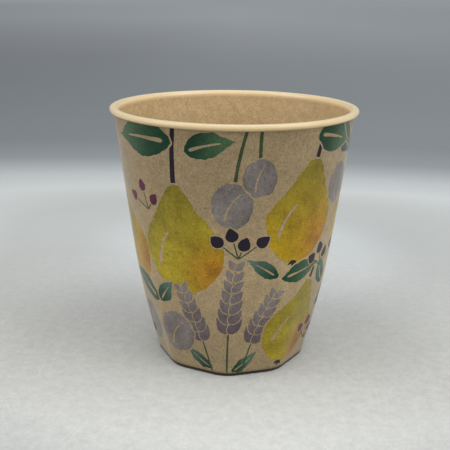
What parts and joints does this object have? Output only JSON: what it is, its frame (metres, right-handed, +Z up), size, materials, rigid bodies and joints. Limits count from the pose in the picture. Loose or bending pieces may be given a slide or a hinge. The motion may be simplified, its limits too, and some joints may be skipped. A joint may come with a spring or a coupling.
{
  "type": "rice husk cup",
  "caption": "Round-rimmed tumbler that narrows to a nine-sided foot, moulded from rice husk composite, with a printed decor foil round its outer wall, for drinking.",
  "frame": {"origin": "on the table, at the middle of the foot", "axes": "+Z up along the cup's axis; a corner of the nine-sided foot points along -Y, towards the viewer; the seam of the foil is at +Y, at the back"},
  "size_m": [0.09, 0.09, 0.095],
  "materials": {
    "husk_composite": "satin, finely speckled",
    "printed_foil": "satin print over a speckled ground"
  },
  "bodies": {
    "root": {"cup_body": "husk_composite", "decor_foil": "printed_foil"}
  },
  "joints": []
}
